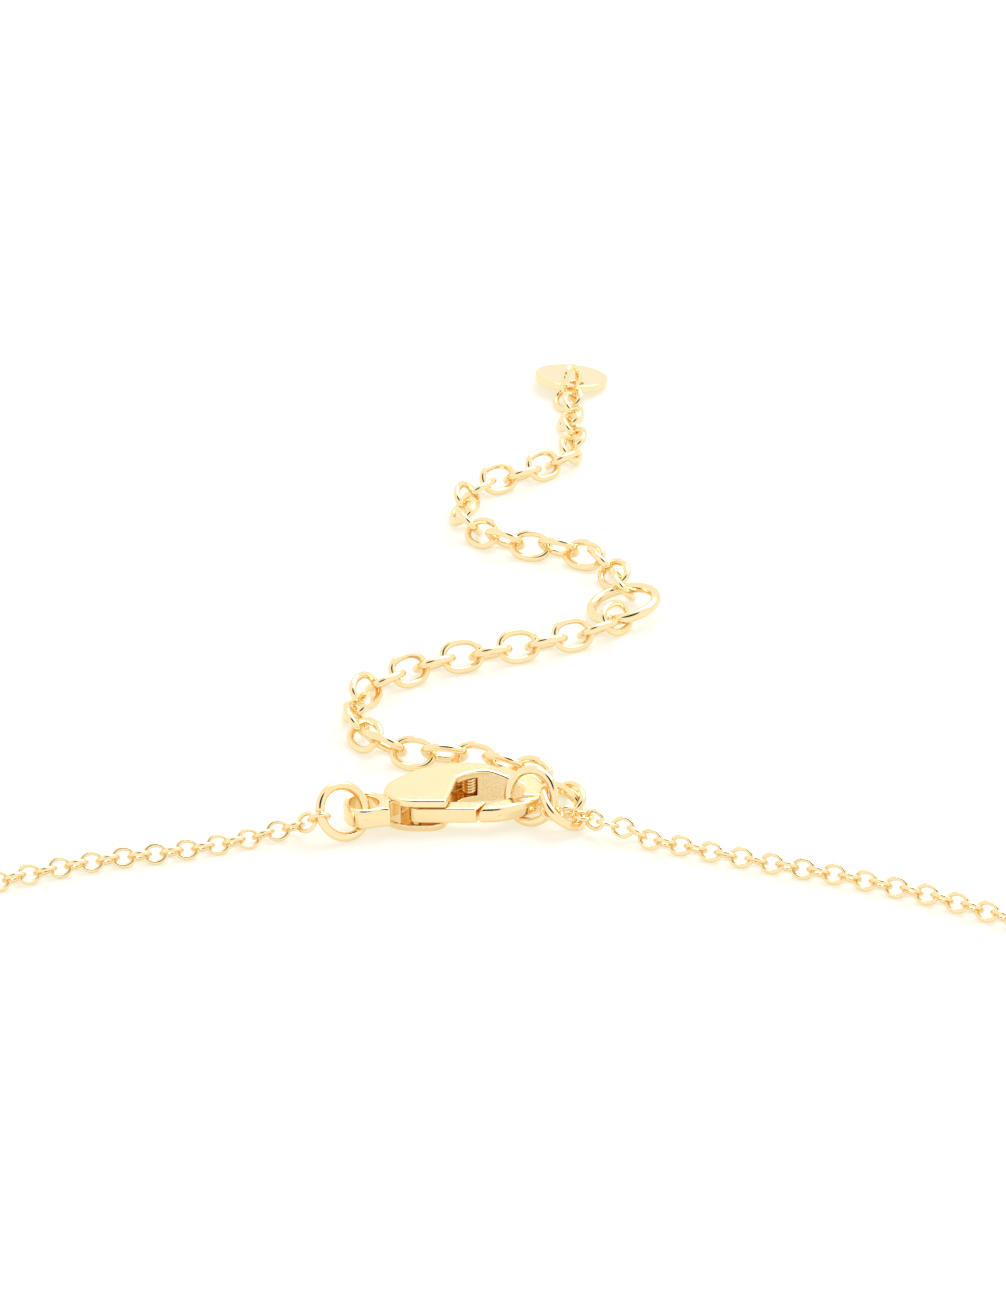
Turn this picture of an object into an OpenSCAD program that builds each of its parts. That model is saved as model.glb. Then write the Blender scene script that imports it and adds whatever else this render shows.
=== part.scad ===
// Initial pendant necklace, lying open on a flat surface. The origin is the point of that
// surface under the claw clasp, which lies on its side with its nose towards +X and its mouth
// towards -Y. The extender runs from the clasp towards +Y, the neck chain's loop towards -Y.

/* [Claw clasp] */
// Thickness of the clasp's body
clasp_t = 2.1; // [2:0.05:2.2]
// Thickness of the lever and of the claw's tip
lever_t = 0.96; // [0.9:0.02:1]
// Diameter of the lever's pin
pin_d = 0.5; // [0.4:0.05:0.6]
// Outer diameter of the tail eye
eye_d = 2.4; // [2.3:0.05:2.5]

/* [Rings] */
// Wire of the jump rings
ring_wire = 0.5; // [0.4:0.02:0.5]
// Mean diameter of the jump rings
ring_d = 3.1; // [3.06:0.02:3.14]
// Wire of the middle ring
middle_wire = 0.7; // [0.6:0.02:0.72]
// Mean diameter of the middle ring
middle_d = 4.24; // [4.2:0.02:4.28]
// Wire of the end ring
end_wire = 0.45; // [0.4:0.01:0.46]

/* [Extender] */
// Length of an extender link
link_l = 2.95; // [2.9:0.01:2.98]
// Width of an extender link
link_w = 2.3; // [2.24:0.01:2.34]
// Wire of an extender link
link_wire = 0.42; // [0.38:0.01:0.46]
// Diameter of the end disc
disc_d = 5.3; // [5:0.1:6]
// Thickness of the end disc
disc_t = 0.5; // [0.4:0.05:0.6]

/* [Neck chain] */
// Width of the neck chain
chain_w = 1.1; // [0.9:0.05:1.15]

/* [Initial] */
// Height of the letter
letter_h = 9; // [7:0.5:12]
// Width of the letter's foot
letter_w = 8; // [6:0.5:10]
// Width of the letter's strokes
stroke = 1.5; // [1.2:0.1:1.8]
// Thickness of the letter
letter_t = 1.2; // [1:0.1:1.4]

/* [Hidden] */

fine = 96;
wire_fine = 40;
gold = "#e6b95c";
past = 1;
beyond = 12;

// Claw clasp, seen from above
back_arc = [2, -5.3, 8];
nose = [3.2, 0.31, 2.3];
tail_corner = [-2.35, -0.55, 1.6];
front_corner = [-3.45, -1.45, 0.5];
clasp_left = -3.95;
clasp_front = -1.95;
plate_t = 0.45;
slot_left = -2.75;
slot_line = [[slot_left, -0.3], [0.4, 0.8]];
mouth_back = [1.7, 0.3, 1.35];
mouth_nose = [3.2, 0.35, 0.95];
mouth_left = [[-0.3, clasp_front - past], [-0.3, clasp_front], [0.3, 1.05], [1.7, 1]];
tip_inner = [[4, -0.28], [3.4, -0.4], [2.8, -0.64], [2.24, -0.87]];
seam = [[2.24, -0.87], [1.83, -1.34], [1.55, -2.04], [1.5, clasp_front - past]];
lever_end = [[1.5, -1.87], [1.76, -1.36], [2.1, -0.93]];
tip_base = 0.56;
tip_front = [[1.4, -1.95], [2.85, -1.85], [4, -1.36], [4.7, -0.9]];
taper_y = [-0.7, 0.7];
tip_under = 0.95;
tip_under_y = [-0.9, -0.3];
pivot = [-2.05, -1.4];
lever_w = 0.93;
pin_play = 0.03;
pin_seat = 0.25;
eye = [-5.1, -1.5];
eye_hole = 1.7;
eye_z = [0.75, 1.75];
neck_end = -3.6;
neck_in = 0.25;

lever_z = (clasp_t - lever_t) / 2;
lever_bore = pin_d + 2 * pin_play;

// Rings: place on the surface, and how each is turned
left_ring_at = [-6.3, -2.15];
left_ring_turn = [57, 3, 36];
claw_ring_at = [4.65, -0.55];
claw_ring_turn = [63, -19, -24];
extender_ring_d = 3;
extender_ring_at = [6.55, -0.95];
extender_ring_turn = [13, 38, 5];
middle_ring_at = [10.8, 26];
middle_ring_turn = [0, -12.7, 0];
end_ring_d = 2.28;
end_ring_at = [7.95, 60.48];
end_ring_turn = [85, 2, 62];

// End disc, which lies with its front rim raised by the ring under it
disc_at = [8, 63];
disc_turn = [-6.2, 4.7, 0];
disc_hole = 1;
disc_hole_in = 0.83;
disc_hole_angle = -79;

// Extender: one turn of roll for the even links and one for the odd
link_pitch = 1.9;
link_roll = [-38, 50];
spline_steps = 12;
near_count = 22;
near_start = 0.78;
near_route = [[7.1, -0.2], [6.3, 1.6], [4.8, 3.5], [2.6, 4.9], [0, 5.8], [-2.6, 6.2], [-5, 7.9],
    [-5.9, 10], [-5.9, 12.2], [-5.3, 14.3], [-3.4, 16.2], [-1.2, 17.8], [1.5, 18.9], [4.1, 19.9],
    [7.4, 21.4], [10, 23.2], [10.3, 23.8]];
far_count = 22;
far_start = 0.9;
far_route = [[11, 27.6], [10.5, 29.8], [9.5, 32.1], [9.4, 32.6], [6.6, 34.1], [4.2, 34.8], [2.2, 36],
    [0.8, 37.8], [0.3, 40.1], [0.8, 42.6], [2.4, 44.7], [4.8, 46.2], [7.9, 49.2], [7.7, 49.8], [8, 50.9],
    [7.8, 55.2], [8.1, 57.8], [7.7, 58.9]];

// Neck chain: the two sides of one loop, which meet over the pendant's ring
loop_rings = 40;
sides = 8;
nearby = 0.5;
left_route = [[-8, -3.1], [-9.8, -2.9], [-12, -3.7], [-16, -5], [-20, -6], [-25, -8], [-34, -13],
    [-44, -22], [-52, -34], [-57, -48], [-59, -64], [-57, -82], [-51, -99], [-41, -114], [-28, -126],
    [-14, -133.6], [-5, -136.4], [-1, -137], [1, -137], [3, -137]];
right_route = [[8.1, -2.6], [9.2, -2.7], [13, -4.2], [18, -6.2], [24, -8.4], [30, -11.5], [38, -17],
    [48, -26], [57, -38], [62, -52], [65, -66], [63, -83], [57, -100], [47, -114], [34, -126],
    [20, -133.6], [11, -136.4], [7, -137], [5, -137], [3, -137]];
hang_at = [3, -137];
hang_lift = 0.67;
hang_span = 8;

// Pendant, whose ring stands through its eye and round the chain
pendant_ring_at = [3, -137.33];
pendant_eye_d = 1.5;
pendant_eye_wire = 0.5;
pendant_eye_z = 0.95;
letter_top = -139.38;
crossbar = 0.34;

module at_circle(c) {
    translate([c[0], c[1]]) circle(r = c[2], $fn = fine);
}

// What a round corner takes off the square's corner outside it
module corner_cut(c, turn) {
    translate([c[0], c[1]]) rotate(turn) difference() {
        square(c[2] + past);
        circle(r = c[2], $fn = fine);
    }
}

module clasp_outline() {
    difference() {
        intersection() {
            union() {
                intersection() {
                    at_circle(back_arc);
                    translate([clasp_left, clasp_front]) square([nose[0] - clasp_left, beyond]);
                }
                at_circle(nose);
            }
            translate([clasp_left, clasp_front]) square(beyond);
        }
        corner_cut(tail_corner, 90);
        corner_cut(front_corner, 180);
    }
}

module mouth() {
    union() {
        at_circle(mouth_back);
        at_circle(mouth_nose);
        polygon(concat(mouth_left, [[mouth_back[0], mouth_back[1] + mouth_back[2]]],
            [[mouth_nose[0], mouth_nose[1] + mouth_nose[2]]], tip_inner, seam));
    }
}

module beyond_tip() {
    polygon(concat(tip_front, [[beyond, tip_front[3][1]], [beyond, -beyond], [tip_front[0][0], -beyond]]));
}

// What the nose's taper takes off, above and below, seen along X
module taper_cut() {
    low = [[taper_y[0], tip_base], [taper_y[1], 0], [beyond, 0], [beyond, -past], [-beyond, -past],
        [-beyond, tip_base]];
    for (side = [0, 1]) mirror([0, side]) translate([0, -side * clasp_t]) polygon(low);
}

// What the underside of the tip gives up to the ring that hangs in the mouth, seen along X
module under_cut() {
    low = tip_base - past;
    polygon([[clasp_front, low], [clasp_front, tip_base], [tip_under_y[0], tip_under],
        [tip_under_y[1], tip_under], [tip_under_y[1], low]]);
}

module clasp_body() {
    color(gold) difference() {
        union() {
            linear_extrude(clasp_t) clasp_outline();
            translate([eye[0], eye[1], eye_z[0]]) {
                cylinder(d = eye_d, h = eye_z[1] - eye_z[0], $fn = fine);
                translate([0, neck_in - eye_d / 2, 0])
                    cube([neck_end - eye[0], eye_d - 2 * neck_in, eye_z[1] - eye_z[0]]);
            }
        }
        translate([0, 0, -past]) linear_extrude(clasp_t + 2 * past) {
            mouth();
            beyond_tip();
        }
        translate([0, 0, plate_t]) linear_extrude(clasp_t - 2 * plate_t)
            polygon([[slot_left, -beyond], slot_line[0], slot_line[1], [slot_line[1][0], -beyond]]);
        translate([slot_line[1][0], 0, 0]) rotate([90, 0, 90]) linear_extrude(beyond) {
            taper_cut();
            under_cut();
        }
        translate([eye[0], eye[1], 0]) cylinder(d = eye_hole, h = clasp_t, $fn = fine);
        translate([pivot[0], pivot[1], plate_t - pin_seat])
            cylinder(d = pin_d, h = clasp_t - 2 * plate_t + 2 * pin_seat, $fn = fine);
    }
}

module clasp_lever() {
    color(gold) translate([0, 0, lever_z]) linear_extrude(lever_t) difference() {
        union() {
            translate(pivot) circle(d = lever_w, $fn = fine);
            polygon(concat([[pivot[0], pivot[1] - lever_w / 2]], lever_end,
                [[pivot[0], pivot[1] + lever_w / 2]]));
        }
        translate(pivot) circle(d = lever_bore, $fn = fine);
    }
}

module clasp_pin() {
    color(gold) translate([pivot[0], pivot[1], plate_t - pin_seat])
        cylinder(d = pin_d, h = clasp_t - 2 * plate_t + 2 * pin_seat, $fn = fine);
}

// Height of the middle of a ring or disc that is turned and rests on the surface
function ring_z(d, wire, turn) = wire / 2 + d / 2 * sqrt(1 - pow(cos(turn[0]) * cos(turn[1]), 2));

module ring(d, wire, spot, turn) {
    color(gold) translate([spot[0], spot[1], ring_z(d, wire, turn)]) rotate(turn)
        rotate_extrude($fn = fine) translate([d / 2, 0]) circle(d = wire, $fn = wire_fine);
}

module left_ring() {
    ring(ring_d, ring_wire, left_ring_at, left_ring_turn);
}

module claw_ring() {
    ring(ring_d, ring_wire, claw_ring_at, claw_ring_turn);
}

module extender_ring() {
    ring(extender_ring_d, ring_wire, extender_ring_at, extender_ring_turn);
}

module middle_ring() {
    ring(middle_d, middle_wire, middle_ring_at, middle_ring_turn);
}

module end_ring() {
    ring(end_ring_d, end_wire, end_ring_at, end_ring_turn);
}

module end_disc() {
    reach = disc_d / 2 - disc_hole_in;
    z = ring_z(disc_d, disc_t, disc_turn);
    color(gold) translate(concat(disc_at, [z])) rotate(disc_turn) difference() {
        cylinder(d = disc_d, h = disc_t, center = true, $fn = fine);
        translate([reach * cos(disc_hole_angle), reach * sin(disc_hole_angle), 0])
            cylinder(d = disc_hole, h = 2 * disc_t, center = true, $fn = fine);
    }
}

function catmull(a, b, c, d, t) =
    0.5 * (2 * b + (c - a) * t + (2 * a - 5 * b + 4 * c - d) * t * t + (3 * b - a - 3 * c + d) * t * t * t);

// The smooth line through the points of a route
function spline(p) =
    let (n = len(p) - 1, q = concat([2 * p[0] - p[1]], p, [2 * p[n] - p[n - 1]]))
    concat([for (i = [0 : n - 1], k = [0 : spline_steps - 1])
        catmull(q[i], q[i + 1], q[i + 2], q[i + 3], k / spline_steps)], [p[n]]);

function sums(line) =
    let (n = len(line) - 1)
    [for (i = 0, s = 0; i <= n; s = s + norm(line[min(i + 1, n)] - line[i]), i = i + 1) s];

// A line with the distance run at each of its points, and the place at one distance
function measured(line) =
    let (s = sums(line))
    [for (k = [0, 1]) [for (i = [0 : len(line) - 1]) [s[i], line[i][k]]]];
function place(m, s) = [lookup(s, m[0]), lookup(s, m[1])];
function run(m) = m[0][len(m[0]) - 1][0];

module oval_link(length, width, wire) {
    straight = length - width;
    bend = (width - wire) / 2;
    for (side = [0, 180]) rotate(side) {
        translate([straight / 2, 0, 0]) rotate(-90) rotate_extrude(angle = 180, $fn = fine)
            translate([bend, 0]) circle(d = wire, $fn = wire_fine);
        translate([-straight / 2, bend, 0]) rotate([0, 90, 0])
            cylinder(d = wire, h = straight, $fn = wire_fine);
    }
}

// Links evenly spaced along a route, each rolled the other way from the one before
module extender(route, count, start, first) {
    m = measured(spline(route));
    color(gold) for (i = [0 : count - 1]) {
        s = start + i * link_pitch;
        ahead = place(m, s + link_pitch / 2) - place(m, s - link_pitch / 2);
        roll = link_roll[(i + first) % 2];
        z = link_wire / 2 + (link_w - link_wire) / 2 * sin(abs(roll));
        translate(concat(place(m, s), [z])) rotate([roll, 0, atan2(ahead[1], ahead[0])])
            oval_link(link_l, link_w, link_wire);
    }
}

module extender_near() {
    extender(near_route, near_count, near_start, 0);
}

module extender_far() {
    extender(far_route, far_count, far_start, 1);
}

// How far the chain is held off the surface by the pendant's ring under it
function lift(p) = hang_lift * pow(max(0, 1 - pow(norm(p - hang_at) / hang_span, 2)), 2);

// An eight-sided tube along a route, with a flat side down
module neck_chain(route) {
    m = measured(spline(route));
    n = loop_rings - 1;
    turn = 360 / sides;
    corner = chain_w / 2 / cos(turn / 2);
    points = [for (i = [0 : n])
        let (s = run(m) * i / n, p = place(m, s), ahead = place(m, s + nearby) - place(m, s - nearby),
            side = [-ahead[1], ahead[0]] / norm(ahead))
        for (k = [0 : sides - 1])
            let (a = turn * (k + 0.5), out = corner * cos(a))
            [p[0] + side[0] * out, p[1] + side[1] * out, chain_w / 2 + lift(p) + corner * sin(a)]];
    walls = [for (i = [0 : n - 1], k = [0 : sides - 1])
        let (a = sides * i + k, b = sides * i + (k + 1) % sides)
        each [[a, b, b + sides], [a, b + sides, a + sides]]];
    ends = [[for (k = [sides - 1 : -1 : 0]) k], [for (k = [0 : sides - 1]) sides * n + k]];
    color(gold) polyhedron(points, concat(ends, walls));
}

module chain_left() {
    neck_chain(left_route);
}

module chain_right() {
    neck_chain(right_route);
}

module letter() {
    half = letter_w / 2;
    bar = letter_h * crossbar;
    inset = (half - stroke / 2) * (bar - stroke / 2) / letter_h;
    polygon([[-half, 0], [-half + stroke, 0], [0, letter_h - stroke], [half - stroke, 0], [half, 0],
        [stroke / 2, letter_h], [-stroke / 2, letter_h]]);
    translate([-half + stroke / 2 + inset, bar - stroke / 2]) square([letter_w - stroke - 2 * inset, stroke]);
}

module pendant() {
    color(gold) {
        translate([hang_at[0], letter_top - letter_h, 0]) linear_extrude(letter_t) letter();
        translate([hang_at[0], letter_top + pendant_eye_d / 2, pendant_eye_z])
            rotate_extrude($fn = fine) translate([pendant_eye_d / 2, 0])
                circle(d = pendant_eye_wire, $fn = wire_fine);
    }
}

module pendant_ring() {
    ring(ring_d, ring_wire, pendant_ring_at, [0, 90, 0]);
}

clasp_body();
clasp_lever();
clasp_pin();
left_ring();
claw_ring();
extender_ring();
extender_near();
middle_ring();
extender_far();
end_ring();
end_disc();
chain_left();
chain_right();
pendant();
pendant_ring();
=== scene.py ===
"""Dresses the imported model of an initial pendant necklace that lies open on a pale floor.

Every wire loop is measured on its own solid and made again as a smooth, round wire. The claw
clasp is skinned from rounded fields, and the letter and the disc are softened copies of their
solids. The two tubes give way to interlocking wire links.
"""
import math
import random

import bmesh
import bpy
import numpy as np
from bpy.props import FloatProperty, FloatVectorProperty, IntProperty, PointerProperty
from mathutils import Matrix, Vector


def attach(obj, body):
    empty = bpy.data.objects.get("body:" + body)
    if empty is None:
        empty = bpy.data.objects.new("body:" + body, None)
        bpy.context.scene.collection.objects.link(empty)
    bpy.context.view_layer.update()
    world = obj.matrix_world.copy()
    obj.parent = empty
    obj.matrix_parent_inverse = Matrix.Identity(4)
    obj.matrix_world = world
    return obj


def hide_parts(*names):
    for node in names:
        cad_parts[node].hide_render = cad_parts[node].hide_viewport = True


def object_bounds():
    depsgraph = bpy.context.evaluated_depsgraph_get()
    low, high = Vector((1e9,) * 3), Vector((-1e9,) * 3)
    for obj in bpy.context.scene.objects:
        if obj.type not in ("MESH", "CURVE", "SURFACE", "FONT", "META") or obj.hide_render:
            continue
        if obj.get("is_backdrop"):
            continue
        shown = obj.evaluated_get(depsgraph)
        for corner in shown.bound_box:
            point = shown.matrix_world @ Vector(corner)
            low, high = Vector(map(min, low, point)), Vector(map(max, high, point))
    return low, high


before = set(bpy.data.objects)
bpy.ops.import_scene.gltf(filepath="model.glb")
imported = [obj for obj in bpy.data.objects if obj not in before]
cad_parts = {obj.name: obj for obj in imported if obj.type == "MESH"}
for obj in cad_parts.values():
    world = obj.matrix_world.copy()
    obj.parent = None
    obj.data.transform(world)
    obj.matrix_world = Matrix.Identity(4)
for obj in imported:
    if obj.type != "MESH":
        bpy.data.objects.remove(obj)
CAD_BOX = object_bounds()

bl_info = {
    "name": "Initial pendant necklace",
    "version": (1, 0, 0),
    "blender": (4, 5, 0),
    "location": "3D View > Sidebar > Necklace",
    "description": "Builds the necklace's polished pieces, its fine chain and a pale studio",
    "category": "Object",
}

MM = 0.001
LOOSE_BODY = "necklace"
LEVER_BODY = "clasp_lever"
UPWARD = np.array([0, 0, 1.0])

# The neck chain, in millimetres. Its middle line runs from its ring down to the floor, where it
# lies at one height, round the neck and to the point where both sides meet in the pendant's ring.

CHAIN_LIE = 0.5


def laid(points):
    """Points of a chain's middle line where it lies on the floor."""
    return [(x, y, CHAIN_LIE) for x, y in points]


LEFT_LINE = [
    (-7.65, -2.98, 1.58), (-8.84, -2.55, 0.85), (-9.47, -2.53, 0.63), (-10.63, -2.92, 0.54),
] + laid([
    (-12.2, -3.7), (-16, -5), (-20, -6), (-25, -8), (-34, -13), (-44, -22), (-52, -34), (-57, -48),
    (-59, -64), (-57, -82), (-51, -99), (-41, -114), (-28, -126), (-14, -133.6), (-5, -136.4),
    (-1, -137), (1, -137), (3, -137)])
RIGHT_LINE = [
    (5.85, -1.56, 1.09), (6.37, -1.59, 0.93), (7.5, -1.5, 0.89), (8.79, -2.52, 1),
    (9.33, -2.54, 0.88), (10.47, -2.96, 0.75), (11.52, -3.66, 0.53),
] + laid([
    (13, -4.2), (18, -6.2), (24, -8.4), (30, -11.5), (38, -17), (48, -26), (57, -38), (62, -52),
    (65, -66), (63, -83), (57, -100), (47, -114), (34, -126), (20, -133.6), (11, -136.4),
    (7, -137), (5, -137), (3, -137)])

# The pendant's ring lifts the chain: at what place, how high and over what distance
HANG_AT = (3, -137)
HANG_LIFT = 0.67
HANG_SPAN = 8

# For each side: its line, which way its first link is rolled, whether its links are odd in number,
# and how many degrees further the first link is rolled, which fades over the next ones
CHAIN_SIDES = {
    "chain_left": {"line": LEFT_LINE, "first": 1, "odd": 0, "lead": -5.1},
    "chain_right": {"line": RIGHT_LINE, "first": -1, "odd": 1, "lead": 54.5},
}
LEAD_LINKS = 6

# Links up to the first number lie exactly on the line, and past the second one they lie loosely,
# by up to so many degrees of roll and of heading and so many millimetres of height
STRICT_LINKS, LOOSE_LINKS = 5, 12
LOOSE_ROLL = 4
LOOSE_HEADING = 3
LOOSE_RISE = 0.03

# For each jump ring: how much fuller its wire is than its solid's, and the seam's place round it
JUMP_RINGS = {
    "left_ring": {"fuller": 1.12, "seam": 0.62},
    "claw_ring": {"fuller": 1.1, "seam": 0.3},
    "extender_ring": {"fuller": 1.06, "seam": 0.8},
    "middle_ring": {"fuller": 0.97, "seam": 0.4},
    "end_ring": {"fuller": 1.05, "seam": 0.1},
    "pendant_ring": {"fuller": 1.06, "seam": 0.25},
}

# How far a ring's seam and a link's soldered joint reach along the wire
SEAM_REACH = 0.03 * MM
SOLDER_REACH = 0.16 * MM

# Stations along each kind of wire loop and sides around it
RING_MESH = (96, 24)
LINK_MESH = (56, 16)
FINE_MESH = (24, 8)


# Sizes and colours that a user would change

class NecklaceWires(bpy.types.PropertyGroup):
    """Sizes of the wires and links."""
    fine_length: FloatProperty(
        name="Fine link length", description="Outer length of a link of the neck chain",
        default=1.5 * MM, unit="LENGTH", precision=5)
    fine_width: FloatProperty(
        name="Fine link width", description="Outer width of a link of the neck chain",
        default=1.3 * MM, unit="LENGTH", precision=5)
    fine_wire: FloatProperty(
        name="Fine link wire", description="Thickness of the neck chain's wire",
        default=0.26 * MM, unit="LENGTH", precision=5)
    fine_pitch: FloatProperty(
        name="Fine link pitch", description="Distance between the middles of neighbouring links",
        default=0.925 * MM, unit="LENGTH", precision=5)
    fine_lay: FloatProperty(
        name="Link lay", description="How far each link is rolled from lying flat",
        default=math.radians(45), subtype="ANGLE")
    seam_depth: FloatProperty(
        name="Ring seam depth", description="Depth of the cut in a jump ring, as a share of its wire",
        default=0.16, min=0, max=0.5)
    link_fuller: FloatProperty(
        name="Link fullness", description="How much fuller the extender's wire is than its solid",
        default=1.12, min=0.9, max=1.2)
    link_squareness: FloatProperty(
        name="Link squareness", description="2 makes the extender's links oval, more makes them fuller",
        default=2.35, min=2, max=4)
    solder_swell: FloatProperty(
        name="Solder swell", description="Swelling at a link's soldered joint, as a share of its wire",
        default=0.05, min=0, max=0.3)


class NecklaceFinish(bpy.types.PropertyGroup):
    """Colours and polish of the plating."""
    gold: FloatVectorProperty(
        name="Gold", description="Colour of the plating where it is polished",
        default=(0.94, 0.775, 0.485), subtype="COLOR", min=0, max=1)
    deep_gold: FloatVectorProperty(
        name="Deep gold", description="Colour of the plating in its redder patches",
        default=(0.925, 0.725, 0.405), subtype="COLOR", min=0, max=1)
    polish: FloatProperty(
        name="Polish", description="Roughness of the polished wire", default=0.05, min=0, max=1)
    cast_polish: FloatProperty(
        name="Cast polish", description="Roughness of the cast pieces", default=0.08, min=0, max=1)
    softness: FloatProperty(
        name="Cast softness", description="Cell of the grid that rounds the cast pieces' edges",
        default=0.045 * MM, unit="LENGTH", precision=6)


class NecklaceStudio(bpy.types.PropertyGroup):
    """Camera, floor and light."""
    aim: FloatVectorProperty(
        name="Aim", description="Point of the floor in the middle of the picture",
        default=(3 * MM, 21.5 * MM, 0), subtype="TRANSLATION", unit="LENGTH")
    distance: FloatProperty(
        name="Distance", description="From the camera to the point it aims at",
        default=245 * MM, unit="LENGTH")
    elevation: FloatProperty(
        name="Elevation", description="How far the camera looks down",
        default=math.radians(27.5), subtype="ANGLE")
    lens: FloatProperty(
        name="Lens", description="Focal length for a 36 mm sensor", default=137.5, unit="CAMERA")
    floor_colour: FloatVectorProperty(
        name="Floor", description="Colour of the floor",
        default=(0.28, 0.31, 0.39), subtype="COLOR", min=0, max=1)
    # Painted light: the floor's warm glow stands in for the light that the gold throws into its
    # shadows, so that they stay pale and peach.
    painted_floor_glow: FloatVectorProperty(
        name="Floor glow", description="Light that the backlit floor gives off itself",
        default=(0.73, 0.66, 0.49), subtype="COLOR", min=0, max=1)
    sky: FloatProperty(
        name="Sky", description="Brightness of the studio's walls and ceiling", default=1.08, min=0)
    flag: FloatProperty(
        name="Flag", description="Brightness of the dark patch above the camera", default=0.03, min=0)
    lamp_power: FloatProperty(
        name="Lamp power", description="Power of the soft box in watts",
        default=7.0, min=0, unit="POWER")
    lamp_place: FloatVectorProperty(
        name="Lamp place", description="Middle of the soft box, which faces the necklace",
        default=(0.3, 0.5, 0.75), subtype="TRANSLATION", unit="LENGTH")
    lamp_size: FloatVectorProperty(
        name="Lamp size", description="Width and depth of the soft box", size=2,
        default=(0.9, 0.5), unit="LENGTH")
    floor_reach: FloatProperty(
        name="Floor reach", description="From the floor's middle to its edges",
        default=3.0, unit="LENGTH")


# Lines and loops

def spline(points, steps=12):
    """The smooth line through the points, which passes each of them."""
    p = np.array(points, float)
    q = np.vstack([2 * p[0] - p[1], p, 2 * p[-1] - p[-2]])
    t = (np.arange(steps) / steps)[:, None]
    pieces = [
        0.5 * (2 * b + (c - a) * t + (2 * a - 5 * b + 4 * c - d) * t ** 2
               + (3 * b - a - 3 * c + d) * t ** 3)
        for a, b, c, d in zip(q[:-3], q[1:-2], q[2:-1], q[3:])]
    return np.vstack(pieces + [p[-1:]])


def along(line, distances):
    """Points of a line at the given distances from its start."""
    run = np.r_[0, np.cumsum(np.linalg.norm(np.diff(line, axis=0), axis=1))]
    return np.stack([np.interp(distances, run, line[:, k]) for k in range(3)], axis=1)


def line_length(line):
    """Length of a line through its points."""
    return np.linalg.norm(np.diff(line, axis=0), axis=1).sum()


# Cast shapes, as fields of signed distance in millimetres that are skinned with a mesh

def arc(middle, radius, start, end, steps):
    """Points of a round arc, with its angles in degrees."""
    turn = np.radians(np.linspace(start, end, steps))
    return [(middle[0] + radius * math.cos(a), middle[1] + radius * math.sin(a)) for a in turn]


def edge_distance(x, y, outline):
    """Signed distance in plan from a closed outline, negative inside it."""
    corners = np.array(outline, float)
    nearest = np.full(x.shape, np.inf)
    inside = np.zeros(x.shape, bool)
    for (ax, ay), (bx, by) in zip(corners, np.roll(corners, -1, axis=0)):
        ex, ey = bx - ax, by - ay
        run = ex * ex + ey * ey
        if run == 0:
            continue
        t = np.clip(((x - ax) * ex + (y - ay) * ey) / run, 0, 1)
        nearest = np.minimum(nearest, (x - ax - t * ex) ** 2 + (y - ay - t * ey) ** 2)
        if ey:
            inside ^= ((ay > y) != (by > y)) & (x < ex * (y - ay) / ey + ax)
    return np.sqrt(nearest) * np.where(inside, -1, 1)


def plate(flat, z, low, high, rounding):
    """A plate of the flat outline between two heights, with rounded edges."""
    side = flat + rounding
    rise = abs(z - (low + high) / 2) - (high - low) / 2 + rounding
    return np.minimum(np.maximum(side, rise), 0) + np.hypot(
        np.maximum(side, 0), np.maximum(rise, 0)) - rounding


def fused(a, b, blend):
    """Both shapes, with a fillet of the blend's size between them."""
    near = np.maximum(blend - abs(a - b), 0) / blend
    return np.minimum(a, b) - near ** 2 * blend / 4


def cut_from(a, b, blend):
    """The first shape without the second, with a rounded rim of the blend's size."""
    return -fused(-a, b, blend)


def field_grid(low, high, cell):
    """Coordinates of the cells' corners in a box, as three arrays that spread over one another."""
    x, y, z = (np.arange(a - 3 * cell, b + 3 * cell, cell) for a, b in zip(low, high))
    return x[:, None, None], y[None, :, None], z[None, None, :]


def skin(name, field, grid, cell, material):
    """The mesh where a field is zero, with one point in each cell that the surface crosses."""
    start = np.array([axis.flat[0] for axis in grid])
    shape = np.array(field.shape) - 1
    strides = np.array([shape[1] * shape[2], shape[2], 1])
    total = np.zeros((shape.prod(), 3))
    count = np.zeros(shape.prod())
    quads = []
    for axis in range(3):
        a, b = (axis + 1) % 3, (axis + 2) % 3
        first = np.moveaxis(field, axis, 0)[:-1]
        second = np.moveaxis(field, axis, 0)[1:]
        where = np.argwhere(np.moveaxis((first < 0) != (second < 0), 0, axis))
        if len(where) == 0:
            raise RuntimeError(f"the field of {name} has no surface")
        f0 = np.moveaxis(first, 0, axis)[tuple(where.T)]
        f1 = np.moveaxis(second, 0, axis)[tuple(where.T)]
        cross = where.astype(float)
        cross[:, axis] += f0 / (f0 - f1)
        ring = []
        for da, db in ((-1, -1), (0, -1), (0, 0), (-1, 0)):
            cell_at = where.copy()
            cell_at[:, a] += da
            cell_at[:, b] += db
            index = cell_at @ strides
            ring.append(index)
            for k in range(3):
                total[:, k] += np.bincount(index, cross[:, k], len(total))
            count += np.bincount(index, minlength=len(count))
        ring = np.stack(ring, axis=1)
        ring[f0 >= 0] = ring[f0 >= 0][:, ::-1]
        quads.append(ring)
    used = np.flatnonzero(count)
    renumber = np.full(len(count), -1)
    renumber[used] = np.arange(len(used))
    verts = (start + cell * total[used] / count[used, None]) * MM
    return joined(name, [(verts, renumber[np.vstack(quads)])], material)


# Points on which an oval's length is measured, and the share of its way round over which its
# direction is taken
LOOP_STEPS = 1440
LOOK_AHEAD = 0.002


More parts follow.
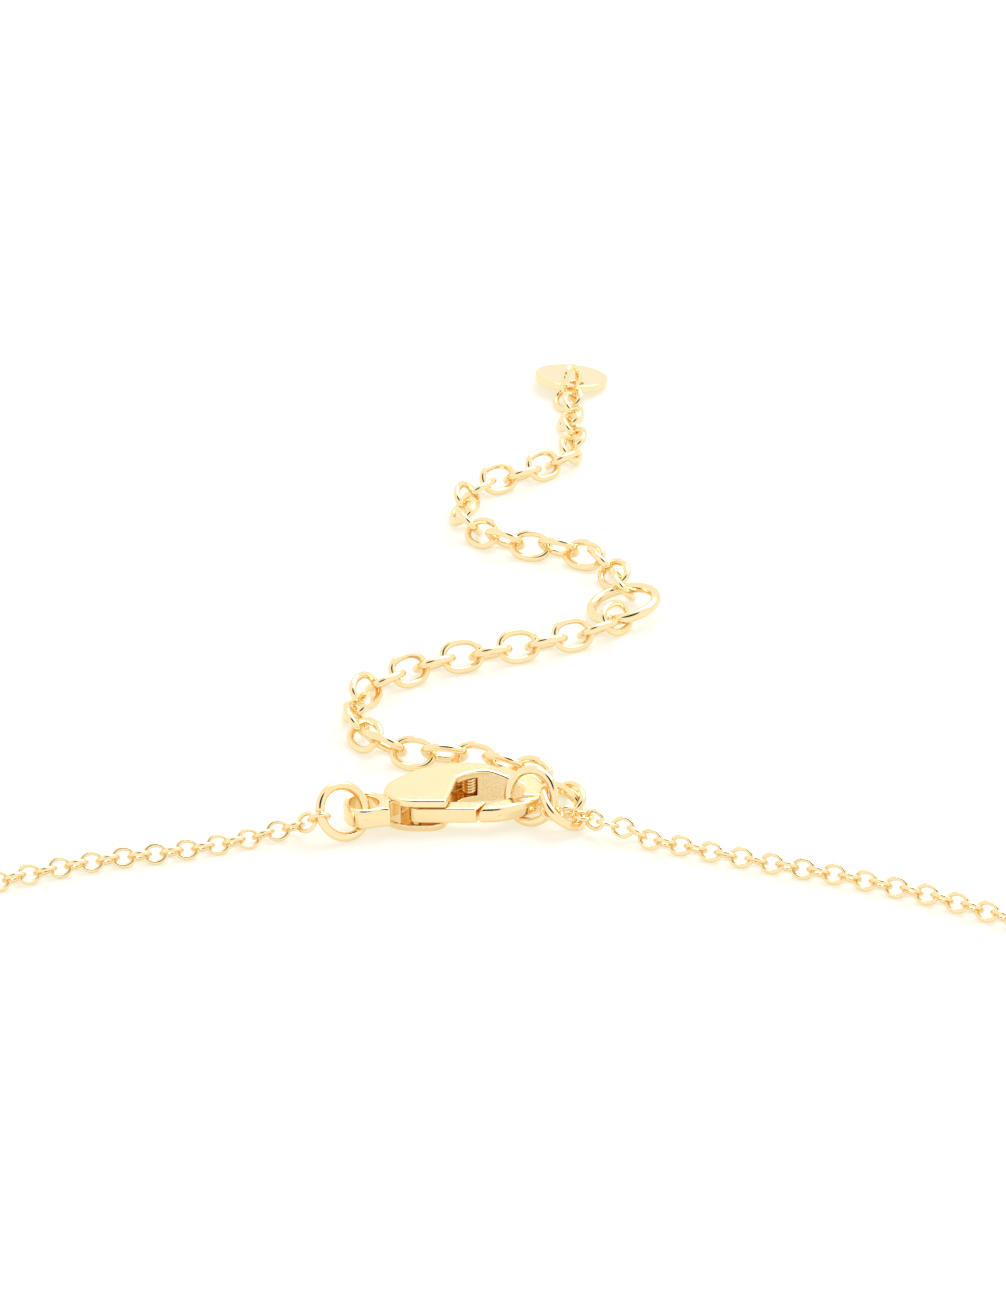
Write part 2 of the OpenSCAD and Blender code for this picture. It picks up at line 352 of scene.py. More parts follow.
def loop_line(length, width, stations, squareness):
    """Points and outward normals of a flat oval, at shares of its way round, and its length."""
    t = 2 * np.pi * np.arange(LOOP_STEPS) / LOOP_STEPS
    c, s = np.cos(t), np.sin(t)
    fine = np.stack([np.sign(c) * abs(c) ** (2 / squareness) * length / 2,
                     np.sign(s) * abs(s) ** (2 / squareness) * width / 2], axis=1)
    closed = np.vstack([fine, fine[:1]])
    run = np.r_[0, np.cumsum(np.linalg.norm(np.diff(closed, axis=0), axis=1))]

    def at(share):
        return np.stack([np.interp(share % 1 * run[-1], run, closed[:, k]) for k in (0, 1)], axis=1)

    points = at(stations)
    ahead = at(stations + LOOK_AHEAD) - at(stations - LOOK_AHEAD)
    ahead /= np.linalg.norm(ahead, axis=1)[:, None]
    none = np.zeros(len(points))
    return (np.stack([points[:, 0], points[:, 1], none], axis=1),
            np.stack([ahead[:, 1], -ahead[:, 0], none], axis=1), run[-1])


# Where a swelling or seam has its own stations, and how near it the plain ones stop, as multiples
# of its reach
BUMP_STATIONS = np.array([-1.6, -1, -0.5, -0.2, 0, 0.2, 0.5, 1, 1.6])
BUMP_CLEAR = 2


def loop_shape(length, width, wire, segments, sides, squareness=2.0, bump=0.0, reach=1.0,
               turned=0.0):
    """Vertices and faces of one wire loop. The bump swells or thins the wire at one place."""
    stations = np.arange(segments) / segments
    if bump:
        around = loop_line(length - wire, width - wire, stations, squareness)[2]
        near = BUMP_STATIONS * reach / around
        away = abs((stations - turned + 0.5) % 1 - 0.5)
        stations = np.sort(np.r_[stations[away > BUMP_CLEAR * reach / around], (near + turned) % 1])
    points, outs, around = loop_line(length - wire, width - wire, stations, squareness)
    off = ((stations - turned + 0.5) % 1 - 0.5) * around
    radius = wire / 2 * (1 + bump * np.exp(-(off / reach) ** 2))
    a = 2 * np.pi * (np.arange(sides) + 0.5) / sides
    ring = points[:, None, :] + radius[:, None, None] * (
        np.cos(a)[None, :, None] * outs[:, None, :] + np.sin(a)[None, :, None] * UPWARD)
    n = len(stations)
    i = np.arange(n)[:, None]
    j = np.arange(sides)[None, :]
    faces = np.stack([
        i * sides + j, (i + 1) % n * sides + j,
        (i + 1) % n * sides + (j + 1) % sides, i * sides + (j + 1) % sides], axis=-1).reshape(-1, 4)
    return ring.reshape(-1, 3), faces


def turned_by(roll, heading, climb):
    """A turn that rolls a piece about its length, then tips its length up and heads it."""
    turn = (Matrix.Rotation(heading, 3, "Z") @ Matrix.Rotation(-climb, 3, "Y")
            @ Matrix.Rotation(roll, 3, "X"))
    return np.array(turn)


def joined(name, shapes, material):
    """One mesh object from (vertices, faces) pairs, smooth all over."""
    verts, faces, base = [], [], 0
    for v, f in shapes:
        verts.append(v)
        faces.append(f + base)
        base += len(v)
    verts, faces = np.vstack(verts), np.vstack(faces)
    mesh = bpy.data.meshes.new(name)
    mesh.from_pydata(verts.tolist(), [], faces.tolist())
    mesh.update()
    mesh.shade_smooth()
    mesh.materials.append(material)
    piece = bpy.data.objects.new(name, mesh)
    bpy.context.scene.collection.objects.link(piece)
    return piece


# Stations in one turn of a coil and sides around its wire
COIL_STEPS = 20
COIL_SIDES = 8


def spring_coil(name, middle, radius, wire, low, high, turns, material):
    """A coil of fine wire standing upright, in millimetres."""
    steps, sides = turns * COIL_STEPS, COIL_SIDES
    a = 2 * np.pi * turns * np.arange(steps + 1) / steps
    out = np.stack([np.cos(a), np.sin(a), 0 * a], axis=1)
    line = np.array([*middle, low]) + radius * out
    line[:, 2] += (high - low) * np.arange(steps + 1) / steps
    b = 2 * np.pi * np.arange(sides) / sides
    ring = line[:, None, :] + wire / 2 * (
        np.cos(b)[None, :, None] * out[:, None, :] + np.sin(b)[None, :, None] * UPWARD)
    i, j = np.arange(steps)[:, None] * sides, np.arange(sides)[None, :]
    k = (j + 1) % sides
    faces = np.stack([i + j, i + sides + j, i + sides + k, i + k], axis=-1).reshape(-1, 4)
    return joined(name, [(ring.reshape(-1, 3) * MM, faces)], material)


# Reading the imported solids

# Points nearer than this, in metres, are one point of a solid
SPLIT_WIDTH = 1e-7


def merged(node):
    """The node's mesh with its split edges closed."""
    bm = bmesh.new()
    bm.from_mesh(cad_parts[node].data)
    bmesh.ops.remove_doubles(bm, verts=bm.verts, dist=SPLIT_WIDTH)
    return bm


def loose_parts(bm):
    """Faces of each separate solid."""
    unseen = set(bm.faces)
    while unseen:
        todo = [unseen.pop()]
        part = []
        while todo:
            face = todo.pop()
            part.append(face)
            for edge in face.edges:
                for other in edge.link_faces:
                    if other in unseen:
                        unseen.discard(other)
                        todo.append(other)
        yield part


def measured_loops(node):
    """Middle, axes and (length, width, wire) of each wire loop in a node, from its own spread."""
    bm = merged(node)
    loops = []
    for part in loose_parts(bm):
        middles = np.array([f.calc_center_median() for f in part])
        areas = np.array([f.calc_area() for f in part])
        spread = middles - np.average(middles, axis=0, weights=areas)
        _, axes = np.linalg.eigh((spread * areas[:, None]).T @ spread)
        axes = axes[:, ::-1]
        if axes[2, 2] < 0:
            axes[:, 2] *= -1
        axes[:, 1] = np.cross(axes[:, 2], axes[:, 0])
        corners = np.array([v.co for v in {v for f in part for v in f.verts}])
        local = corners @ axes
        low, high = local.min(0), local.max(0)
        loops.append((axes @ ((low + high) / 2), axes, high - low))
    bm.free()
    if not loops:
        raise RuntimeError(f"no loop found in {node}")
    return loops


def round_loops(name, node, material, segments, sides, fuller, **form):
    """Smooth wire loops in place of a node's own, their wire made fuller towards the inside."""
    shapes = []
    for middle, axes, (length, width, wire) in measured_loops(node):
        v, f = loop_shape(length, width, wire * fuller, segments, sides, **form)
        shapes.append((v @ axes.T + middle, f))
    return joined(name, shapes, material)


# How often a blank is smoothed, and the letter's cells as a share of the disc's
SOFT_PASSES = 5
LETTER_CELL = 1.4


def softened(name, node, material, cell):
    """A copy of a node's solid with its edges rounded as a polished casting's are."""
    bm = merged(node)
    bmesh.ops.scale(bm, vec=(1 / MM,) * 3, verts=bm.verts)
    mesh = bpy.data.meshes.new(name)
    bm.to_mesh(mesh)
    bm.free()
    work = bpy.data.objects.new(name + "_work", mesh)
    bpy.context.scene.collection.objects.link(work)
    remesh = work.modifiers.new("Cells", "REMESH")
    remesh.mode = "VOXEL"
    remesh.voxel_size = cell / MM
    smooth = work.modifiers.new("Soften", "SMOOTH")
    smooth.factor = 0.5
    smooth.iterations = SOFT_PASSES
    graph = bpy.context.evaluated_depsgraph_get()
    soft = bpy.data.meshes.new_from_object(work.evaluated_get(graph))
    bpy.data.objects.remove(work)
    bpy.data.meshes.remove(mesh)
    if not soft.polygons:
        raise RuntimeError(f"the softened {name} came out empty")
    soft.name = name
    soft.transform(Matrix.Scale(MM, 4))
    soft.shade_smooth()
    soft.materials.clear()
    soft.materials.append(material)
    piece = bpy.data.objects.new(name, soft)
    bpy.context.scene.collection.objects.link(piece)
    return piece


def placed(piece, body, node):
    """Hangs a piece on the body it rides on and hides the node that it stands for."""
    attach(piece, body)
    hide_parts(node)


# Claw clasp, in millimetres as seen from above

# Outlines of the casting, of its open mouth, of the slot between its plates and of the place where
# its lower plate ends
NOSE = (3.2, 0.31)
CLASP_EDGE = spline(
    [(-3.97, -0.75), (-3.97, -0.35), (-3.78, 0.22), (-3.3, 0.86), (-2.36, 1.72), (-1.31, 2.34),
     (-0.25, 2.66), (1.05, 2.78)] + arc(NOSE, 2.3, 108, -22, 9) + [
     (5.1, -0.82), (4.7, -1.02), (4, -1.4), (2.85, -1.87), (1.5, -1.98), (-0.3, -1.94), (-1.93, -1.93),
     (-2.7, -1.86), (-3.3, -1.62), (-3.75, -1.2), (-3.97, -0.75)], 6)
MOUTH_EDGE = np.vstack([
    [(-0.3, -4), (-0.3, -1.9)],
    spline([(0.33, 0.95), (0.8, 1.33), (1.64, 1.65), (2.45, 1.56), (3.3, 1.28), (3.95, 0.92),
            (4.15, 0.35), (4, -0.28)], 6),
    spline([(4, -0.28), (3.4, -0.4), (2.8, -0.64), (2.24, -0.87), (1.83, -1.34), (1.58, -2.04)], 6),
    [(1.5, -4)]])
SLOT_EDGE = [(-2.95, -4), (-2.95, -0.5), (-2.6, 0), (-1.2, 0.95), (0.1, 2), (0.6, 2.35), (1.1, 2.4),
             (1.42, 2.2), (1.5, 1.8), (1.5, 0.5), (0.6, 0), (0.6, -4)]
TONGUE_END = [(-1.6, -4), (-1.6, -1.97), (-1, -1.87), (-0.6, -1.68), (-0.35, -1.4), (-0.2, -1),
              (0, -0.6), (1, -0.6), (1, -4)]

# Heights and sizes of the casting, its tip, its lever with the pivot, and its tail eye
CLASP_TOP = 2.1
CLASP_MIDDLE = CLASP_TOP / 2
PLATE_THICKNESS = 0.45
TIP_LOW, TIP_HIGH = 0.56, 1.54
NOSE_TAPER = 0.47
LEVER_LOW, LEVER_HIGH = 0.57, 1.53
PIVOT = (-2.05, -1.4)
LEVER_BORE = 0.28
LEVER_EDGE = arc((-2, PIVOT[1]), 0.47, 270, 90, 20) + [
    (1.2, -0.93), (2.02, -0.95), (1.68, -1.4), (1.43, -1.87)]
EYE = (-5.1, -1.5)
EYE_LOW, EYE_HIGH = 0.62, 1.86
EYE_RADIUS, EYE_BORE = 1.22, 0.85
NECK_AT, NECK_HALF, NECK_WIDE = -4.3, 0.75, 0.92

# The step behind the slot, how far past the lower plate its end is cut, and the room that the rings
# need: their wire and the play round it
STEP_END, STEP_DEPTH = -2.8, 0.13
TONGUE_OVER = 0.08
RING_WIRE = 0.56
RING_PLAY = 0.05

# Stretches over which the casting thins to its front, its tip and its nose, and those over which
# its edges get rounder, with how round they are elsewhere and how much more there
FRONT_THINS, TIP_THINS, NOSE_THINS = (-0.7, 0.7), (0.4, 1.2), (1.9, 4.4)
TIP_ROUNDS_BACK, TIP_ROUNDS, NOSE_ROUNDS = (-0.3, 0.5), (1.1, 1.5), (2, 4)
EDGE_ROUND, TIP_ROUNDER, NOSE_ROUNDER = 0.15, 0.15, 0.1

# Rounding of the cuts' corners and of their rims, and fillets between joined forms
SLOT_CORNER, SLOT_RIM = 0.08, 0.06
STEP_CORNER = 0.03
TONGUE_CORNER, TONGUE_RIM = 0.02, 0.14
EYE_CORNER, NECK_FILLET, EYE_FILLET = 0.19, 0.5, 0.12
RING_RIM, DIMPLE_RIM = 0.1, 0.03
LEVER_CORNER, LEVER_RIM = 0.09, 0.03

# The lever's cells, as a share of the casting's, and the coil spring behind the mouth's wall
LEVER_CELL = 0.8
SPRING = {"middle": (1.03, 1.93), "radius": 0.35, "wire": 0.17, "low": 0.58, "high": 1.52, "turns": 5}

# Small casting marks: the middle and radius of the ball that presses each one
DIMPLES = [(2.87, -1.93, 1.03, 0.13), (-4.95, -2.77, 1.2, 0.1)]

# Corners of the boxes that hold the casting and the lever
CLASP_BOX = ((-6.35, -2.8, 0), (5.55, 2.85, CLASP_TOP))
LEVER_BOX = ((-2.55, -1.9, LEVER_LOW), (2.1, -0.9, LEVER_HIGH))

# The mouth's inner wall that no wheel reaches: how near its outline, how far from mid height, how
# steep, and the corner of the plan beyond which it lies
WALL_NEAR = 0.08
WALL_HALF = 0.86
WALL_LEAN = 0.6
WALL_FROM = (1.5, -0.2)


def ramp(value, start, end):
    """Runs smoothly from 0 at the start to 1 at the end."""
    t = np.clip((value - start) / (end - start), 0, 1)
    return t * t * (3 - 2 * t)


def ring_field(grid, node, wire):
    """A jump ring's wire, which the casting has to leave room for."""
    (middle, axes, size), = measured_loops(node)
    at = [sum((line - m / MM) * a for line, m, a in zip(grid, middle, axes[:, k])) for k in range(3)]
    return np.hypot(np.hypot(at[0], at[1]) - (size[0] / MM - wire) / 2, at[2]) - wire / 2


def clasp_blank(grid, edge, mouth):
    """The casting's outline as a solid that tapers to the nose and to the rounded tip."""
    x, y, z = grid
    thinning = CLASP_MIDDLE - (TIP_HIGH - TIP_LOW) / 2
    half = CLASP_MIDDLE - thinning * ramp(-y, *FRONT_THINS) * ramp(x, *TIP_THINS)
    half = np.minimum(half, CLASP_MIDDLE - NOSE_TAPER * ramp(x, *NOSE_THINS))
    tip = ramp(-y, *TIP_ROUNDS_BACK) * ramp(x, *TIP_ROUNDS)
    rounding = EDGE_ROUND + TIP_ROUNDER * tip + NOSE_ROUNDER * ramp(x, *NOSE_ROUNDS) * (1 - tip)
    return plate(np.maximum(edge, -mouth), z, CLASP_MIDDLE - half, CLASP_MIDDLE + half, rounding)


def eye_field(flat_x, flat_y, z):
    """The tail eye with the neck that joins it to the body."""
    from_eye = np.hypot(flat_x - EYE[0], flat_y - EYE[1])
    neck = np.maximum(abs(flat_x - NECK_AT) - NECK_HALF, abs(flat_y - EYE[1]) - NECK_WIDE)
    ring = fused(from_eye - EYE_RADIUS, neck, NECK_FILLET)[:, :, None]
    bore = (from_eye - EYE_BORE)[:, :, None]
    return plate(np.maximum(ring, -bore), z, EYE_LOW, EYE_HIGH, EYE_CORNER)


def clasp_field(grid):
    """The casting: two plates with a slot between them, the hooked nose and the tail eye."""
    x, y, z = grid
    flat_x, flat_y = np.broadcast_arrays(x[:, :, 0], y[:, :, 0])

    def plan(outline):
        return edge_distance(flat_x, flat_y, outline)[:, :, None]

    edge = plan(CLASP_EDGE)
    body = clasp_blank(grid, edge, plan(MOUTH_EDGE))
    low, high = PLATE_THICKNESS, CLASP_TOP - PLATE_THICKNESS
    body = cut_from(body, plate(plan(SLOT_EDGE), z, low, high, SLOT_CORNER), SLOT_RIM)
    step = np.maximum(np.maximum(-(edge + STEP_DEPTH), x - STEP_END), y)
    body = cut_from(body, plate(step, z, low, high, STEP_CORNER), SLOT_RIM)
    tongue = plate(plan(TONGUE_END), z, -1, low + TONGUE_OVER, TONGUE_CORNER)
    body = cut_from(body, tongue, TONGUE_RIM)
    body = fused(body, eye_field(flat_x, flat_y, z), EYE_FILLET)
    for node in ("claw_ring", "left_ring"):
        body = cut_from(body, ring_field(grid, node, RING_WIRE) - RING_PLAY, RING_RIM)
    for dx, dy, dz, radius in DIMPLES:
        dimple = np.sqrt((x - dx) ** 2 + (y - dy) ** 2 + (z - dz) ** 2) - radius
        body = cut_from(body, dimple, DIMPLE_RIM)
    return body


def leave_unpolished(body, bare):
    """Gives the mouth's inner wall the grainy finish that the polishing wheel doesn't reach, and a
    painted glow that lightens its shade.
    """
    body.data.materials.append(bare)
    faces = body.data.polygons
    middles = np.empty(len(faces) * 3)
    normals = np.empty(len(faces) * 3)
    faces.foreach_get("center", middles)
    faces.foreach_get("normal", normals)
    x, y, z = middles.reshape(-1, 3).T / MM
    lean = abs(normals.reshape(-1, 3)[:, 2])
    near = abs(edge_distance(x, y, MOUTH_EDGE)) < WALL_NEAR
    upright = (abs(z - CLASP_MIDDLE) < WALL_HALF) & (lean < WALL_LEAN)
    wall = near & upright & (x > WALL_FROM[0]) & (y > WALL_FROM[1])
    faces.foreach_set("material_index", wall.astype(np.int32))


def lever_field(grid):
    """The lever, which turns about its pin and closes against the tip."""
    x, y, z = grid
    flat_x, flat_y = np.broadcast_arrays(x[:, :, 0], y[:, :, 0])
    flat = edge_distance(flat_x, flat_y, LEVER_EDGE)[:, :, None]
    bar = plate(flat, z, LEVER_LOW, LEVER_HIGH, LEVER_CORNER)
    bore = (np.hypot(flat_x - PIVOT[0], flat_y - PIVOT[1]) - LEVER_BORE)[:, :, None]
    return cut_from(bar, bore + 0 * z, LEVER_RIM)


# Materials

# How deep the scratches are beside the grain
SCRATCH_SHARE = 0.18


def plating_group():
    """Shared look of the plating: drifting tone, faint scratches and small dents."""
    found = bpy.data.node_groups.get("Plating")
    if found:
        return found
    group = bpy.data.node_groups.new("Plating", "ShaderNodeTree")

    def socket(name, kind, way, default=None):
        made = group.interface.new_socket(name, in_out=way, socket_type=kind)
        if default is not None:
            made.default_value = default

    socket("Gold", "NodeSocketColor", "INPUT", (1, 0.8, 0.4, 1))
    socket("Deep Gold", "NodeSocketColor", "INPUT", (0.9, 0.6, 0.2, 1))
    socket("Polish", "NodeSocketFloat", "INPUT", 0.1)
    socket("Wear", "NodeSocketFloat", "INPUT", 0.06)
    socket("Grain Size", "NodeSocketFloat", "INPUT", 9000.0)
    socket("Colour", "NodeSocketColor", "OUTPUT")
    socket("Roughness", "NodeSocketFloat", "OUTPUT")
    socket("Height", "NodeSocketFloat", "OUTPUT")

    nodes, links = group.nodes, group.links
    given = nodes.new("NodeGroupInput")
    result = nodes.new("NodeGroupOutput")
    place = nodes.new("ShaderNodeTexCoord")

    tone = nodes.new("ShaderNodeTexNoise")
    tone.inputs["Scale"].default_value = 420.0
    tone.inputs["Detail"].default_value = 3.0
    links.new(place.outputs["Object"], tone.inputs["Vector"])
    mix = nodes.new("ShaderNodeMix")
    mix.data_type = "RGBA"
    links.new(tone.outputs["Fac"], mix.inputs[0])
    links.new(given.outputs["Gold"], mix.inputs[6])
    links.new(given.outputs["Deep Gold"], mix.inputs[7])
    links.new(mix.outputs[2], result.inputs["Colour"])

    grain = nodes.new("ShaderNodeTexNoise")
    grain.inputs["Detail"].default_value = 6.0
    grain.inputs["Roughness"].default_value = 0.62
    links.new(place.outputs["Object"], grain.inputs["Vector"])
    links.new(given.outputs["Grain Size"], grain.inputs["Scale"])

    lines = nodes.new("ShaderNodeTexWave")
    lines.wave_type = "BANDS"
    lines.bands_direction = "DIAGONAL"
    lines.inputs["Scale"].default_value = 2600.0
    lines.inputs["Distortion"].default_value = 9.0
    lines.inputs["Detail"].default_value = 4.0
    links.new(place.outputs["Object"], lines.inputs["Vector"])

    wear = nodes.new("ShaderNodeMath")
    wear.operation = "MULTIPLY"
    links.new(grain.outputs["Fac"], wear.inputs[0])
    links.new(given.outputs["Wear"], wear.inputs[1])
    rough = nodes.new("ShaderNodeMath")
    rough.operation = "ADD"
    links.new(given.outputs["Polish"], rough.inputs[0])
    links.new(wear.outputs[0], rough.inputs[1])
    links.new(rough.outputs[0], result.inputs["Roughness"])

    scratch = nodes.new("ShaderNodeMath")
    scratch.operation = "MULTIPLY_ADD"
    scratch.inputs[1].default_value = SCRATCH_SHARE
    links.new(lines.outputs["Fac"], scratch.inputs[0])
    links.new(grain.outputs["Fac"], scratch.inputs[2])
    links.new(scratch.outputs[0], result.inputs["Height"])
    return group


def gold_material(name, polish, wear, grain_size, dent, metallic=1.0, painted_glow=0.0):
    """Gold plating with its own polish, wear and depth of dents, and a painted glow in its own colour
    that lightens it.
    """
    found = bpy.data.materials.get(name)
    if found:
        return found
    finish = bpy.context.scene.necklace_finish
    material = bpy.data.materials.new(name)
    material.use_nodes = True
    nodes, links = material.node_tree.nodes, material.node_tree.links
    shader = nodes["Principled BSDF"]
    shader.inputs["Metallic"].default_value = metallic
    shader.inputs["Emission Strength"].default_value = painted_glow
    plating = nodes.new("ShaderNodeGroup")
    plating.node_tree = plating_group()
    plating.inputs["Gold"].default_value = (*finish.gold, 1)
    plating.inputs["Deep Gold"].default_value = (*finish.deep_gold, 1)
    plating.inputs["Polish"].default_value = polish
    plating.inputs["Wear"].default_value = wear
    plating.inputs["Grain Size"].default_value = grain_size
    links.new(plating.outputs["Colour"], shader.inputs["Base Color"])
    links.new(plating.outputs["Roughness"], shader.inputs["Roughness"])
    # Painted light: the plating's own colour glows and lightens a shaded surface
    if painted_glow:
        links.new(plating.outputs["Colour"], shader.inputs["Emission Color"])
    bump = nodes.new("ShaderNodeBump")
    bump.inputs["Distance"].default_value = dent
    bump.inputs["Strength"].default_value = 1.0
    links.new(plating.outputs["Height"], bump.inputs["Height"])
    links.new(bump.outputs["Normal"], shader.inputs["Normal"])
    return material


def bare_gold():
    """The casting where it isn't polished, pale and grainy, with a painted glow that lightens its
    shade.
    """
    return gold_material("bare_cast_gold", polish=0.3, wear=0.3, grain_size=4600.0, dent=0.3 * MM,
                         metallic=0.7, painted_glow=0.32)


def cast_gold():
    """The polished castings."""
    polish = bpy.context.scene.necklace_finish.cast_polish
    return gold_material("cast_gold", polish, wear=0.1, grain_size=5200.0, dent=0.0025 * MM)


def wire_gold():
    """The drawn wire of the rings, the extender and the clasp's spring."""
    polish = bpy.context.scene.necklace_finish.polish
    return gold_material("wire_gold", polish, wear=0.05, grain_size=7000.0, dent=0.0012 * MM)


def fine_gold():
    """The neck chain's fine wire."""
    polish = bpy.context.scene.necklace_finish.polish
    return gold_material("fine_gold", polish, wear=0.08, grain_size=9000.0, dent=0.001 * MM)


# The darkest of the board's mottling, as a share of its colour
MOTTLE = 0.97


def pale_floor(studio):
    """A matt, faintly mottled board with painted light: a warm glow, so that its shadows stay pale and
    peach as if the gold lit them.
    """
    material = bpy.data.materials.new("pale_floor")
    material.use_nodes = True
    nodes, links = material.node_tree.nodes, material.node_tree.links
    shader = nodes["Principled BSDF"]
    shader.inputs["Roughness"].default_value = 0.9
    shader.inputs["Specular IOR Level"].default_value = 0.1
    # Painted light: the warm glow that keeps the floor's shadows pale and peach
    shader.inputs["Emission Color"].default_value = (*studio.painted_floor_glow, 1)
    shader.inputs["Emission Strength"].default_value = 1.0
    place = nodes.new("ShaderNodeTexCoord")
    fibre = nodes.new("ShaderNodeTexNoise")
    fibre.inputs["Scale"].default_value = 900.0
    fibre.inputs["Detail"].default_value = 4.0
    links.new(place.outputs["Object"], fibre.inputs["Vector"])
    mottle = nodes.new("ShaderNodeMix")
    mottle.data_type = "RGBA"
    mottle.inputs[6].default_value = (*[MOTTLE * part for part in studio.floor_colour], 1)
    mottle.inputs[7].default_value = (*studio.floor_colour, 1)
    links.new(fibre.outputs["Fac"], mottle.inputs[0])
    links.new(mottle.outputs[2], shader.inputs["Base Color"])
    return material


# Operators

class NECKLACE_OT_clasp(bpy.types.Operator):
    """Makes the claw clasp's softly cast body, its lever, its pin and its coil spring"""
    bl_idname = "necklace.clasp"
    bl_label = "Claw clasp"

    def execute(self, context):
        cell = context.scene.necklace_finish.softness / MM
        gold = cast_gold()
        grid = field_grid(*CLASP_BOX, cell)
        body = skin("clasp_casting", clasp_field(grid), grid, cell, gold)
        leave_unpolished(body, bare_gold())
        placed(body, LOOSE_BODY, "clasp_body")
        fine_cell = cell * LEVER_CELL
        grid = field_grid(*LEVER_BOX, fine_cell)
        lever = skin("clasp_lever_arm", lever_field(grid), grid, fine_cell, gold)
        placed(lever, LEVER_BODY, "clasp_lever")
        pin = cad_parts["clasp_pin"]
        for slot in pin.material_slots:
            slot.material = gold
        spring = spring_coil("clasp_spring", **SPRING, material=wire_gold())
        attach(spring, LOOSE_BODY)
        return {"FINISHED"}


class NECKLACE_OT_rings(bpy.types.Operator):
    """Makes each jump ring as a round wire with the seam where it was closed"""
    bl_idname = "necklace.rings"
    bl_label = "Jump rings"

    def execute(self, context):
        depth = context.scene.necklace_wires.seam_depth
        for node, form in JUMP_RINGS.items():
            ring = round_loops(node + "_wire", node, wire_gold(), *RING_MESH, form["fuller"],
                               bump=-depth, reach=SEAM_REACH, turned=form["seam"])
            placed(ring, LOOSE_BODY, node)
        return {"FINISHED"}


class NECKLACE_OT_extender(bpy.types.Operator):
    """Makes the extender's links as round wire with a soldered joint in each"""
    bl_idname = "necklace.extender"
    bl_label = "Extender chain"

    def execute(self, context):
        wires = context.scene.necklace_wires
        for node in ("extender_near", "extender_far"):
            chain = round_loops(node + "_links", node, wire_gold(), *LINK_MESH, wires.link_fuller,
                                squareness=wires.link_squareness, bump=wires.solder_swell,
                                reach=SOLDER_REACH)
            placed(chain, LOOSE_BODY, node)
        return {"FINISHED"}


class NECKLACE_OT_end_disc(bpy.types.Operator):
    """Makes the extender's end disc with its rounded rim"""
    bl_idname = "necklace.end_disc"
    bl_label = "End disc"

    def execute(self, context):
        cell = context.scene.necklace_finish.softness
        disc = softened("end_disc_blank", "end_disc", cast_gold(), cell)
        placed(disc, LOOSE_BODY, "end_disc")
        return {"FINISHED"}


def hung(path):
    """The chain's line with the stretch that the pendant's ring lifts off the floor."""
    away = np.linalg.norm(path[:, :2] - np.array(HANG_AT) * MM, axis=1) / (HANG_SPAN * MM)
    path[:, 2] += HANG_LIFT * MM * np.maximum(0, 1 - away ** 2) ** 2
    return path


class NECKLACE_OT_neck_chain(bpy.types.Operator):
    """Makes both sides of the neck chain as interlocking links"""
    bl_idname = "necklace.neck_chain"
    bl_label = "Neck chain"

    seed: IntProperty(name="Seed", description="Start of the links' small unevenness", default=7)

    def execute(self, context):
        wires = context.scene.necklace_wires
        for node, side in CHAIN_SIDES.items():
            chance = random.Random(self.seed + side["odd"])
            path = hung(spline(side["line"]) * MM)
            length = line_length(path)
            # The last link lies half a pitch before the line's end, and the links are even or odd in
            # number so that their rolls also alternate where the two sides meet
            count = round(length / wires.fine_pitch + 0.5)
            count += (count + side["odd"]) % 2
            pitch = length / (count - 0.5)
            middles = along(path, pitch * np.arange(count))
            before = along(path, pitch * (np.arange(count) - 0.5))
            after = along(path, pitch * (np.arange(count) + 0.5))
            before[0] = 2 * middles[0] - after[0]
            after[-1] = 2 * middles[-1] - before[-1]
            v, f = loop_shape(wires.fine_length, wires.fine_width, wires.fine_wire, *FINE_MESH)
            shapes = []
            for i, (middle, ahead) in enumerate(zip(middles, after - before)):
                loose = ramp(i, STRICT_LINKS, LOOSE_LINKS)
                lead = side["lead"] * max(0, 1 - i / LEAD_LINKS)
                roll = side["first"] * wires.fine_lay * (1 if i % 2 == 0 else -1)
                roll += math.radians(lead + loose * chance.uniform(-LOOSE_ROLL, LOOSE_ROLL))
                heading = math.atan2(ahead[1], ahead[0])
                heading += math.radians(loose * chance.uniform(-LOOSE_HEADING, LOOSE_HEADING))
                climb = math.atan2(ahead[2], np.hypot(ahead[0], ahead[1]))
                rise = loose * chance.uniform(0, LOOSE_RISE) * MM
                shapes.append((v @ turned_by(roll, heading, climb).T + middle + rise * UPWARD, f))
            chain = joined(node + "_links", shapes, fine_gold())
            placed(chain, LOOSE_BODY, node)
        return {"FINISHED"}


class NECKLACE_OT_pendant(bpy.types.Operator):
    """Makes the flat letter with its eye"""
    bl_idname = "necklace.pendant"
    bl_label = "Letter pendant"

    def execute(self, context):
        cell = context.scene.necklace_finish.softness
        letter = softened("letter_blank", "pendant", cast_gold(), cell * LETTER_CELL)
        placed(letter, LOOSE_BODY, "pendant")
        return {"FINISHED"}


def lay_floor(scene):
    """A plain square floor."""
    studio = scene.necklace_studio
    reach = studio.floor_reach
    mesh = bpy.data.meshes.new("floor")
    mesh.from_pydata([(-reach, -reach, 0), (reach, -reach, 0), (reach, reach, 0), (-reach, reach, 0)],
                     [], [(0, 1, 2, 3)])
    floor = bpy.data.objects.new("floor", mesh)
    scene.collection.objects.link(floor)
    mesh.materials.append(pale_floor(studio))
    floor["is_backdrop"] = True


# Where the dark patch is in the light all round, and the cosines at which it fades in and is full
FLAG_TOWARD = (0, -0.46, 0.89)
FLAG_START, FLAG_FULL = 0.92, 0.95


